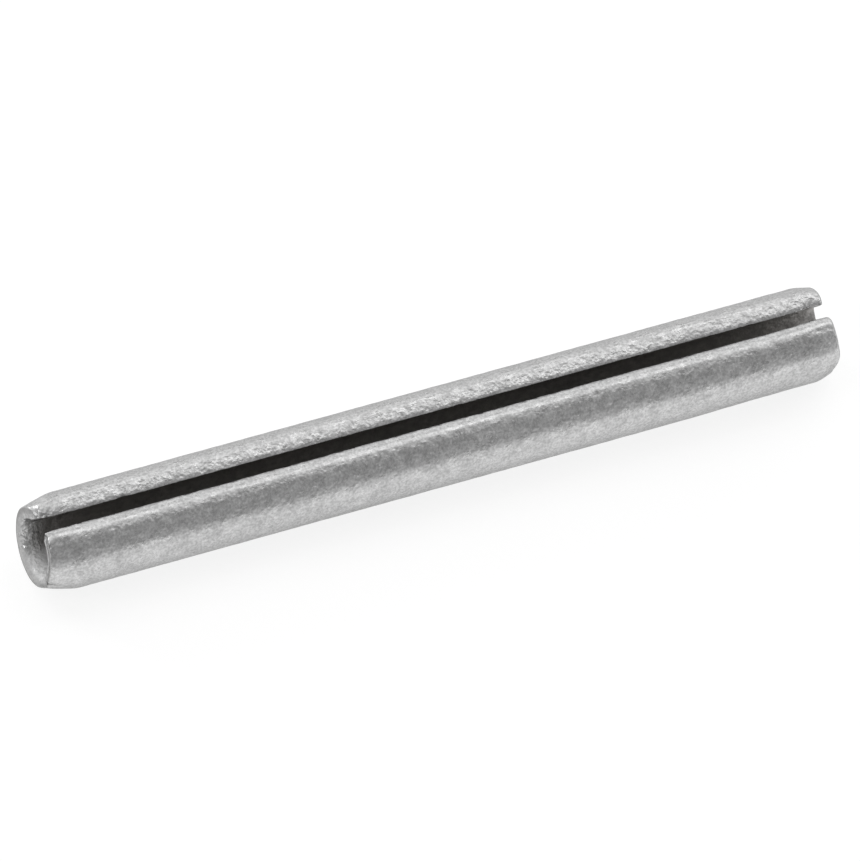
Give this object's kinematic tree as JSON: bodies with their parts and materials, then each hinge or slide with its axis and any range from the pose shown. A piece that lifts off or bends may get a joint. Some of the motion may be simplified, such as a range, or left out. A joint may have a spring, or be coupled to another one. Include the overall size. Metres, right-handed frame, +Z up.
{
  "type": "slotted spring pin",
  "caption": "Zinc plated steel spring pin, also called a roll pin: a strip rolled round an open slot, with squeezed, tapered ends.",
  "frame": {"origin": "on the pin's axis, at the middle of its length", "axes": "+X along the axis from the long lead to the short tail, +Z up out of the slot"},
  "size_m": [0.0444, 0.005, 0.0048],
  "materials": {
    "zinc_plated_steel": "dull grey zinc plating with a fine blasted grain, brighter along the lips of the slot"
  },
  "bodies": {
    "root": {"spring_pin": "zinc_plated_steel"}
  },
  "joints": []
}
